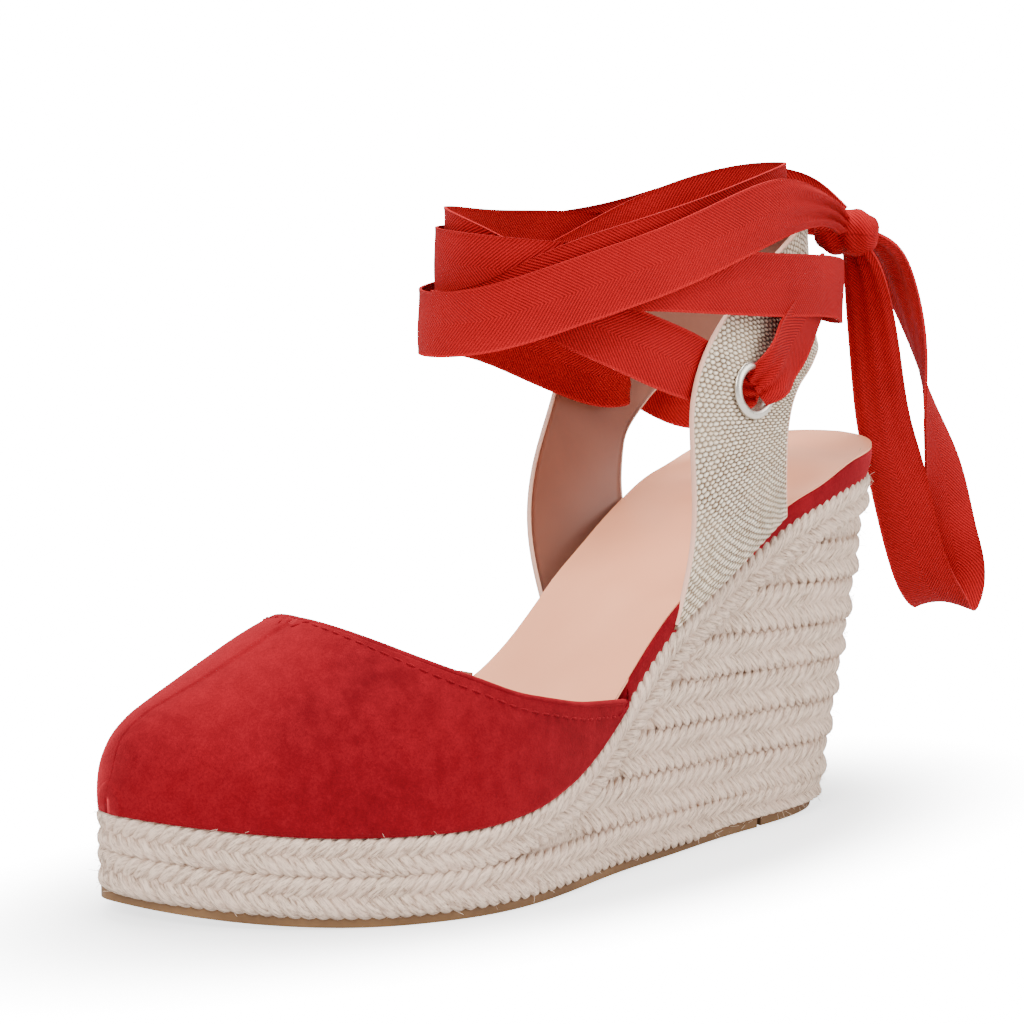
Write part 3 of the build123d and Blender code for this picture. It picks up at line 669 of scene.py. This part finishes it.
# ---- footbed
# the edge band's section: (inset, share of the rim's height, millimetres up)
BAND_PROFILE = [(1.9, 0, -1.6), (1.5, 0.3, 0), (1.3, 0.5, 0), (1.35, 0.74, 0), (1.7, 0.91, 0),
                (2.3, 0.90, 0), (3.4, 0.78, 0)]
BAND_T, BAND_OVERLAP = 0.7, 14.0
BED_ROWS, BED_COLS = 150, 31
COVER_INSET, COVER_T = 1.75, 0.85
FOAM_INSET, FOAM_FROM, FOAM_TO = 4.6, 0.9, 3.4
HOLLOW_FORE, HOLLOW_HEEL = 0.5, 1.6


def rear_line(x):
    """y of the vamp's rear edge at x."""
    (x0, y0), (x1, y1) = VAMP_REAR
    return y0 + (y1 - y0) * (x - x0) / (x1 - x0)


def footbed_edge_band():
    """The suede band round the footbed, rolled in over its edge."""
    rings = []
    for inset, lift, up in BAND_PROFILE:
        points, out = wall_ring(lambda y: jute_top(y) + rim_height(y) * lift + up, inset)
        inside_vamp = 2.6 * ease((rear_line(points[:, 0]) + 1.0 - points[:, 1]) / 5.0)
        points[:, 2] -= 1.5 * inside_vamp * lift
        rings.append(points - out * inside_vamp[:, None])
    stack = np.stack(rings, axis=1)
    start = np.roll(np.arange(WALL_COUNT), -int(np.argmin(stack[:, 0, 1])))
    keep = [k for k in start if stack[k, 0, 1] > rear_line(stack[k, 0, 0]) - BAND_OVERLAP]
    stack = stack[keep][::3]
    inner = stack[:, ::-1].copy()
    inner[..., 2] -= BAND_T
    loop = np.concatenate([stack, inner], axis=1)
    build("footbed_edge_band", loop, ring_faces(*loop.shape[:2]), SUEDE, "footbed_rim")


def bed_grid(inset):
    """The footbed's hollowed top, drawn in from the wedge's edge by inset."""
    ring, _ = wall_ring(footbed_top, inset)
    medial, lateral = sides_of(ring)
    low, high = ring[:, 1].min() + 0.05, ring[:, 1].max() - 0.05
    stations = low + (high - low) * (1 - np.cos(np.linspace(0, np.pi, BED_ROWS))) / 2
    across = (1 - np.cos(np.linspace(0, np.pi, BED_COLS))) / 2
    x = medial(stations)[:, None] + (lateral(stations) - medial(stations))[:, None] * across
    y = np.repeat(stations[:, None], BED_COLS, axis=1)
    deep = (HOLLOW_FORE + HOLLOW_HEEL * ease((stations - 40) / 60)) * ease((high - stations) / 14)
    hollow = (1 - (2 * across - 1) ** 4)[None, :] * deep[:, None]
    return np.stack([x, y, footbed_top(y) - hollow + 0.25 * (across * (1 - across))[None, :]], axis=-1)


def footbed_cover():
    """The satin cover, and the foam pad hidden under it."""
    top = bed_grid(COVER_INSET)
    build("footbed_cover", *slab(top, top - [0, 0, COVER_T]), FOOTBED, "sock_lining")
    top = bed_grid(FOAM_INSET)
    pad = slab(top - [0, 0, FOAM_FROM], top - [0, 0, FOAM_TO])
    build("footbed_foam_pad", *pad, CORK, "footbed_foam", slot="foam")


# ---- vamp
VAMP_SIDES = sides_of(wall_ring(jute_top)[0])


def dome_point(y, angle, shrink):
    """A point of the vamp form: angle runs from 0 at the lateral foot to pi at the medial foot."""
    medial, lateral = VAMP_SIDES[0](y), VAMP_SIDES[1](y)
    centre, half = (medial + lateral) / 2, np.maximum((lateral - medial) / 2 - VAMP_INSET - shrink, 0.2)
    blend = ease((np.asarray(y) + 98.0) / 14.0)
    sharp, soft = soft_table(VAMP_CROWN, y - shrink, 1.0), soft_table(VAMP_CROWN, y - shrink, 6.0)
    crown = sharp + (soft - sharp) * blend
    crown = np.maximum(crown - 0.6 * shrink, 0.5)
    c, s = np.cos(angle), np.sin(angle)
    # the side walls belly a little over the jute before they turn in
    belly = (1.0 + 0.8 * ease((-70.0 - np.asarray(y)) / 25.0)) * np.sin(np.clip(np.abs(s), 0, 1) * np.pi)
    x = centre + (half + belly * np.minimum(half / 20, 1)) * np.sign(c) * np.abs(c) ** SECTION_POWER
    z = jute_top(y) + 0.1 + crown * np.maximum(s, 0) ** SECTION_POWER
    return np.stack(np.broadcast_arrays(x, y, z), axis=-1)


def half_section(side, y, angles, shrink):
    """The vamp form at y on one side: 0 is lateral, 1 medial."""
    return dome_point(np.full(len(angles), y), angles if side == 0 else np.pi - angles, shrink)


def topline_angle(y, shrink):
    """Angle at which the vamp's section meets its topline, from the lateral foot."""
    angles = np.linspace(0.001, np.pi / 2, 400)
    limit = soft_table(TOPLINE, y, 4.0)
    heights = half_section(0, y, angles, shrink)[:, 2]
    return float(np.interp(limit, heights, angles)) if y > THROAT_Y else np.pi / 2


def vamp_grid(shrink):
    """Each half of the vamp's surface, lateral then medial, as rows of points from foot to topline."""
    toe = -106.0 + VAMP_INSET + shrink
    front = toe + (THROAT_Y - toe) * (1 - np.cos(np.linspace(0, np.pi / 2, TOE_ROWS)))
    shares = np.linspace(0, 1, SECTION_COLS)
    halves = []
    for side in (0, 1):
        rows = []
        rear = THROAT_Y + (REAR_REACH[side] - THROAT_Y) * np.linspace(0, 1, REAR_ROWS)[1:] ** 1.8
        for y in np.r_[front, rear]:
            rows.append(half_section(side, y, shares * topline_angle(y, shrink), shrink))
        halves.append(np.array(rows))
    # the toe's rounded nose: the first section drawn in to a point ahead of itself
    middle = (halves[0][0][0] + halves[1][0][0]) / 2 + [0, 0, 0.45 * np.ptp(halves[0][0][:, 2])]
    for side in (0, 1):
        nose = []
        for share in (0.02, 0.3, 0.58, 0.8, 0.94):
            ring = middle + (halves[side][0] - middle) * share
            ring[:, 1] -= NOSE_BULGE * math.sqrt(1 - share ** 2)
            ring[0, 2] = halves[side][0][0, 2]
            nose.append(ring)
        halves[side] = np.concatenate([nose, halves[side]])
    return halves


def vamp_shell(name, outer, inner, material, node, until=100.0, slot=None):
    """A layer of the vamp between two depths, closed all round, made of its sections up to y = until."""
    points, faces, base = [], [], 0
    for side in (0, 1):
        layers = [trim_rear(vamp_grid(shrink)[side]) for shrink in (outer, inner)]
        kept = layers[0][:, 0, 1] < until
        layers = [layer[kept] for layer in layers]
        half, patch = slab(*layers)
        flip = 1 if side == 0 else -1
        points.append(half)
        faces += [tuple(i + base for i in f[::flip]) for f in patch]
        base += len(half)
    weld(build(name, np.vstack(points), faces, material, node, slot=slot), 0.02)


def trim_rear(half):
    """Pull the last stations back to the vamp's slanting rear edge."""
    half[..., 1] -= np.maximum(half[..., 1] - rear_line(half[..., 0]), 0)
    return half


def weld(obj, distance):
    """Join the two halves down the middle and drop the doubled wall between them."""
    bm = bmesh.new()
    bm.from_mesh(obj.data)
    bmesh.ops.remove_doubles(bm, verts=bm.verts, dist=distance * MM)
    bm.verts.index_update()
    seen = {}
    for face in bm.faces:
        seen.setdefault(frozenset(v.index for v in face.verts), []).append(face)
    doubled = [f for group in seen.values() if len(group) > 1 for f in group]
    bmesh.ops.delete(bm, geom=doubled, context="FACES")
    bmesh.ops.dissolve_degenerate(bm, dist=0.001 * MM, edges=bm.edges)
    bmesh.ops.recalc_face_normals(bm, faces=bm.faces)
    bm.to_mesh(obj.data)
    bm.free()


def topline_curve(side, shrink, drop):
    """A line on the vamp form, drop down the surface from the topline."""
    points = []
    for y in THROAT_Y + (14.0 - THROAT_Y) * np.linspace(0.0, 1, 160) ** 1.8:
        section = half_section(side, y, np.linspace(0.02, topline_angle(y, shrink), 200), shrink)[::-1]
        back = np.r_[0, np.cumsum(np.linalg.norm(np.diff(section, axis=0), axis=1))]
        reach = min(drop, back[-1] * 0.8)
        points.append([np.interp(reach, back, section[:, k]) for k in range(3)])
    line = np.array(points)
    return line[line[:, 1] < rear_line(line[:, 0]) - (1.0 if side == 0 else 7.0)]


def vamp_stitches():
    """Short sunk threads in a line under the topline, up one side and down the other."""
    parts = []
    for side in (0, 1):
        line, _ = even(topline_curve(side, -0.05, STITCH_DROP), STITCH_PITCH)
        heading = tangents(line)
        for p, t in zip(line, heading):
            centre = p + t * np.linspace(-0.5, 0.5, 7)[:, None] * STITCH_LEN
            taper = np.sin(np.linspace(0.12, 0.88, 7) * np.pi)[:, None]
            out = unit(np.array([1.0 if side == 0 else -1.0, 0, 0.6]))
            lean = np.tile(unit(np.cross(t, out)), (7, 1))
            away = np.tile(unit(np.cross(lean[0], t)), (7, 1))
            sunk = centre - out * 0.12 * (1 - taper)
            parts.append(plain(*tube(sunk, lean * taper, away * taper, STITCH_R, 8)))
    points, faces, _ = join(parts)
    build("vamp_stitches", points, faces, THREAD, "vamp_topline_stitching")


def topline_binding():
    """The suede turned over the topline, as a soft bead."""
    parts = []
    for side in (0, 1):
        line, _ = even(topline_curve(side, 0.95, 0.0), 1.0)
        heading = tangents(line)
        up = np.tile([0, 0, 1.0], (len(line), 1))
        lean = unit(np.cross(heading, up))
        parts.append(plain(*tube(line, lean, unit(np.cross(lean, heading)), (1.15, 0.85), 14)))
    points, faces, _ = join(parts)
    build("vamp_topline_edge", points, faces, SUEDE)


def vamp():
    vamp_shell("vamp_suede", 0.0, UPPER_T, SUEDE, "vamp_upper")
    vamp_shell("toe_puff_layer", UPPER_T + LAYER_GAP, LINING_IN - LAYER_GAP, CORK, "toe_puff", PUFF_REAR,
               "board")
    vamp_shell("vamp_inner", LINING_IN, LINING_IN + LINING_T, SHADED_LINING, "vamp_lining")
    vamp_stitches()
    topline_binding()


# ---- heel sling
def strap_surface(shares, across):
    """Outer face of the sling on a grid, and its outward normals."""
    front = spline([s[0] for s in STRAP], shares)
    keys = np.array([s[0] for s in STRAP], float)
    run = np.r_[0, np.cumsum(np.linalg.norm(np.diff(keys, axis=0), axis=1))]
    rear_and_bow = np.array([(*s[1], s[2]) for s in STRAP], float).T
    *rear, bow = [soft_read(run / run[-1], row, shares, 0.02) for row in rear_and_bow]
    rear = np.column_stack(rear)
    along = unit(np.gradient(front + rear, axis=0))
    out = unit(np.cross(rear - front, along))
    c = across[None, :, None]
    grid = front[:, None, :] * (1 - c) + rear[:, None, :] * c
    grid = grid + out[:, None, :] * (bow[:, None, None] * 4 * c * (1 - c))
    return grid, np.repeat(out[:, None, :], len(across), axis=1)


def near_eyelet(points, radius):
    """Which points lie inside either eyelet's hole."""
    hit = np.zeros(points.shape[:-1], bool)
    for centre, axis in (LATERAL_EYELET, MEDIAL_EYELET):
        offset = points - np.array(centre)
        axis = unit(np.array(axis))
        depth = offset @ axis
        away = np.linalg.norm(offset - depth[..., None] * axis, axis=-1)
        hit |= (away < radius) & (np.abs(depth) < 12)
    return hit


def open_holes(obj, radius):
    """Cut the eyelet holes: faces whose middle is inside the hole go."""
    bm = bmesh.new()
    bm.from_mesh(obj.data)
    centres = np.array([f.calc_center_median()[:] for f in bm.faces]) / MM
    inside = near_eyelet(centres, radius)
    bmesh.ops.delete(bm, geom=[f for f, gone in zip(list(bm.faces), inside) if gone], context="FACES")
    bm.to_mesh(obj.data)
    bm.free()


def weave_height(u, v):
    """Height of the basket weave, 0 in the gaps and 1 on the floats, u and v in mm."""
    row = v / FLOAT_ROW
    column = u / FLOAT_PITCH + 0.5 * (np.floor(row) % 2)
    fu, fv = (column % 1.0 - 0.5) / FLOAT_HALF[0], (row % 1.0 - 0.5) / FLOAT_HALF[1]
    return np.sqrt(np.clip(1 - fu ** 2 - fv ** 2, 0, 1))


def heel_sling():
    """The canvas with its weave in the mesh, its lining, and a tape along each edge."""
    cols, rows = int(SLING_WIDTH / WEAVE_CELL[0]), int(SLING_LENGTH / WEAVE_CELL[1])
    shares, across = np.linspace(0, 1, rows), np.linspace(0, 1, cols)
    face, out = strap_surface(shares, across)
    v = np.repeat((shares * SLING_LENGTH)[:, None], cols, axis=1)
    u = np.repeat((across * SLING_WIDTH)[None, :], rows, axis=0)
    height = weave_height(u, v)
    front = face + out * ((height - 0.8) * WEAVE_H)[..., None]
    back = face - out * CANVAS_T
    uvs = np.tile(np.c_[u.ravel(), v.ravel()], (2, 1))
    canvas_piece = build("heel_sling_canvas", *slab(front, back), CANVAS, "heel_strap_canvas", uvs)
    open_holes(canvas_piece, EYELET_HOLE_R + 0.7)

    shares, across = np.linspace(0, 1, 240), np.linspace(0.012, 0.988, 24)
    face, out = strap_surface(shares, across)
    outer, inner = face - out * (CANVAS_T + 0.04), face - out * (CANVAS_T + STRAP_LINING_T)
    lining_piece = build("heel_sling_lining", *slab(outer, inner), SHADED_LINING, "heel_strap_lining")
    open_holes(lining_piece, EYELET_HOLE_R + 0.9)
    for edge, label in ((0.0, "front"), (1.0, "rear")):
        face, out = strap_surface(np.linspace(0.004, 0.996, 420), np.array([edge]))
        line = face[:, 0] - out[:, 0] * 0.75
        heading = tangents(line)
        lean = unit(np.cross(heading, out[:, 0]))
        points, faces = tube(line, lean, out[:, 0], (0.42, 0.78), 12)
        build(f"heel_sling_edge_{label}", points, faces, EDGE_TAPE)


def eyelet_ring(label, spot):
    """A rolled eyelet, turned about its axis, with its washer inside."""
    centre, axis = np.array(spot[0]), unit(np.array(spot[1]))
    side = unit(np.cross(axis, [0, 0, 1.0]))
    up = np.cross(side, axis)
    outer = [(EYELET_HOLE_R, -2.4), (EYELET_HOLE_R, 0.5), (5.2, 1.0), (5.7, 1.35), (6.3, 1.42), (6.9, 1.2),
             (7.35, 0.85), (EYELET_FLANGE_R, 0.45), (7.35, 0.35), (5.6, 0.4), (5.55, -2.4)]
    inner = [(5.6, -2.35), (5.9, -2.75), (6.6, -2.85), (7.1, -2.5), (7.1, -2.1), (5.6, -2.1)]
    for profile, end, node in ((outer, "", f"eyelet_{label}"), (inner, "_washer", f"eyelet_washer_{label}")):
        angle = 2 * np.pi * np.arange(72) / 72
        spokes = side[None, :] * np.cos(angle)[:, None] + up[None, :] * np.sin(angle)[:, None]
        points = np.stack([centre + spokes * r + axis * d for r, d in profile], axis=1)
        faces = grid_faces(72, len(profile), wrap_rows=True, wrap_cols=True)
        build(f"eyelet_{label}_rolled{end}", points, faces, SILVER, node)


# ---- tie ribbon
def ribbon_frame(points, turns=None):
    """Centre line, width, across and outward directions in even steps along a ribbon, and its length."""
    rows = np.array([p[:4] for p in points], float)
    if turns is not None:
        rows = np.c_[rows, turns]
    line, length = even(spline(rows, np.linspace(0, 1, 3000)), RIBBON_STEP)
    heading = tangents(line[:, :3])
    if turns is None:
        wish = np.tile([0, 0, 1.0], (len(line), 1))
    else:
        turn = np.radians(line[:, 4])
        wish = np.c_[np.cos(turn), np.sin(turn), np.zeros(len(line))]
    across = unit(wish - heading * np.sum(heading * wish, axis=1)[:, None])
    return line[:, :3], line[:, 3], across, np.cross(heading, across), length


def ribbon(name, node, points, body="sandal", turns=None,
           ripple=0.22):
    """A length of the tape along its route."""
    centre, width, across, out, length = ribbon_frame(points, turns)
    count, cols = len(centre), RIBBON_COLS
    run = np.linspace(0, length, count)
    c = np.linspace(-0.5, 0.5, cols)
    # gathered where it is narrower than its cut width, so the spare cloth goes into small pleats
    spare = np.clip(1 - width / RIBBON_W, 0, 1)[:, None]
    pleats = spare * PLEAT_H * np.cos(c[None, :] * 2 * np.pi * PLEATS)
    soft = ripple * np.sin(run / 17.0 + 0.8)[:, None] * np.sin(c * 5)[None, :]
    cup = 0.35 * (c ** 2 * 4)[None, :] * np.cos(run / 23.0)[:, None] * ripple / 0.22
    lift = pleats + soft + cup
    middle = (centre[:, None, :] + across[:, None, :] * (width[:, None] * c[None, :])[..., None]
              + out[:, None, :] * lift[..., None])
    thick = RIBBON_T / 2 * (0.8 + 0.35 * (np.abs(c) > 0.46))[None, :, None]
    front, back = middle + out[:, None, :] * thick, middle - out[:, None, :] * thick
    uv = np.stack(np.broadcast_arrays(c[None, :] + 0.5, (run / RIBBON_W)[:, None]), axis=-1).reshape(-1, 2)
    obj = build(name, *slab(front, back), RIBBON, node, np.vstack([uv, uv]), body)


def ankle_point(angle, z, stand_off):
    """A full-width route point on the oval that the ribbon wraps, standing off it a little."""
    a = math.radians(angle)
    x = (ANKLE_A + stand_off) * math.cos(a)
    y = ANKLE_CENTRE_Y + (ANKLE_B + stand_off) * math.sin(a)
    return (x, y, z, RIBBON_W)


def knot():
    """The ribbon rolled over itself: a creased roll lying across the line of sight."""
    centre = np.array(KNOT_CENTRE)
    axis = unit(np.array(KNOT_AXIS))
    side = unit(np.cross(axis, [0, 0, 1.0]))
    up = np.cross(side, axis)
    t = np.linspace(-1, 1, KNOT_ROWS)[:, None]
    angle = (2 * np.pi * np.arange(KNOT_COLS) / KNOT_COLS)[None, :]
    body = (1 - np.abs(t) ** 3.2) ** 0.42
    creases = 0.42 * np.cos(3 * t * np.pi + 2 * angle) + 0.25 * np.cos(7 * t + angle * 3)
    radius = KNOT_R * body * (1 + 0.09 * creases)
    x = axis * (t * KNOT_LENGTH * 0.52)[..., None]
    girth = side * (radius * 0.85 * np.cos(angle))[..., None] + up * (radius * np.sin(angle))[..., None]
    points = centre + x + girth
    faces = list(map(tuple, grid_faces(KNOT_ROWS, KNOT_COLS, wrap_cols=True)))
    uv = np.stack(np.broadcast_arrays((t + 1) / 2, angle * KNOT_R / RIBBON_W), axis=-1).reshape(-1, 2)
    build("ribbon_knot_roll", points, faces, RIBBON, "ribbon_knot", uv)


def tie_ribbon():
    lateral = LATERAL_START + [ankle_point(*p) for p in LATERAL_WRAP] + LATERAL_END
    ribbon("ribbon_lateral", "ribbon_lateral_wrap", lateral)
    ribbon("ribbon_medial", "ribbon_medial_wrap", MEDIAL_WRAP)
    ribbon("ribbon_behind_heel", "ribbon_heel_loop", HEEL_LOOP)
    ribbon("ribbon_bow", "ribbon_bow_loop", [p[:4] for p in BOW_LOOP], body="bow_loop",
           turns=[p[4] for p in BOW_LOOP], ripple=0.4)


# ---- CAD nodes that stay
def finish_cad_nodes():
    """Materials for the CAD solids whose shape is right as it is."""
    stays = {"outsole": RUBBER, "heel_pad": RUBBER, "wedge_core": CORK, "insole_board": CORK}
    for name, material in stays.items():
        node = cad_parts[name]
        node.data.materials.clear()
        node.data.materials.append(material)


# ---- studio
def glow_for_camera(tree, dim, bright):
    """A strength that is bright where the camera looks straight at it, and dim as a light."""
    path = tree.nodes.new("ShaderNodeLightPath")
    span = tree.nodes.new("ShaderNodeMapRange")
    tree.links.new(path.outputs["Is Camera Ray"], span.inputs["Value"])
    span.inputs["To Min"].default_value = dim
    if isinstance(bright, bpy.types.NodeSocket):
        tree.links.new(bright, span.inputs["To Max"])
    else:
        span.inputs["To Max"].default_value = bright
    return span.outputs[0]


def studio():
    mesh = bpy.data.meshes.new("studio_floor")
    corners = [(x * FLOOR_HALF, y * FLOOR_HALF, 0) for x, y in ((-1, -1), (1, -1), (1, 1), (-1, 1))]
    mesh.from_pydata(corners, [], [(0, 1, 2, 3)])
    floor = link("studio_floor", mesh)
    pale = Shader("studio_white")
    mesh.materials.append(pale.finish((0.62, 0.62, 0.62, 1), 0.9, specular=0.0))
    # the floor glows out to white away from the shoe; close by, its glow is dimmed to a painted grey shade in
    # which its real soft shadow still shows
    scale = (1 / (SHADE_RADII[0] * MM), 1 / (SHADE_RADII[1] * MM), 1.0)
    shift = (-SHADE_CENTRE[0] / SHADE_RADII[0], -SHADE_CENTRE[1] / SHADE_RADII[1], 0.0)
    inputs = {"Vector": pale.place(), "Scale": scale, "Location": shift}
    oval = pale.node("ShaderNodeMapping", inputs).outputs[0]
    away = pale.node("ShaderNodeVectorMath", {0: oval}, operation="LENGTH").outputs["Value"]
    inputs = {"Value": away, "From Min": SHADE_FROM, "From Max": SHADE_FROM + SHADE_FADE}
    spread = pale.node("ShaderNodeMapRange", inputs, interpolation_type="SMOOTHSTEP")
    inputs = {"Value": spread.outputs[0], "To Min": FLOOR_GLOW_NEAR, "To Max": FLOOR_GLOW_FAR}
    glow = pale.node("ShaderNodeMapRange", inputs).outputs[0]
    pale.put(pale.surface.inputs["Emission Color"], (1, 1, 1, 1))
    pale.put(pale.surface.inputs["Emission Strength"], glow_for_camera(pale.tree, 0.0, glow))
    world = bpy.data.worlds.new("studio")
    world.use_nodes = True
    sky = world.node_tree.nodes["Background"]
    sky.inputs[0].default_value = (1, 1, 1, 1)
    world.node_tree.links.new(glow_for_camera(world.node_tree, SKY_LIGHT, SKY_SEEN), sky.inputs[1])
    bpy.context.scene.world = world
    for name, spot, power, size in LIGHTS:
        light = bpy.data.lights.new(name, "AREA")
        light.energy, light.size = power, size
        lamp = link(name, light)
        lamp.location = spot
        lamp.rotation_euler = (Vector(AIM_AT) - Vector(spot)).to_track_quat("-Z", "Y").to_euler()


def camera():
    turn, rise = math.radians(CAMERA_TURN), math.radians(CAMERA_RISE)
    back = Vector((math.sin(turn) * math.cos(rise), -math.cos(turn) * math.cos(rise), math.sin(rise)))
    data = bpy.data.cameras.new("product_view")
    data.lens, data.sensor_width = CAMERA_LENS, SENSOR
    data.clip_start = 0.01
    obj = link("product_view", data)
    obj.location = (Vector(CAMERA_TARGET) + back * CAMERA_DISTANCE) * MM
    obj.rotation_euler = (-back).to_track_quat("-Z", "Y").to_euler()
    bpy.context.scene.camera = obj


# ---- build
jute_wedge()
footbed_edge_band()
footbed_cover()
vamp()
heel_sling()
eyelet_ring("lateral", LATERAL_EYELET)
eyelet_ring("medial", MEDIAL_EYELET)
knot()
tie_ribbon()
finish_cad_nodes()
studio()
camera()
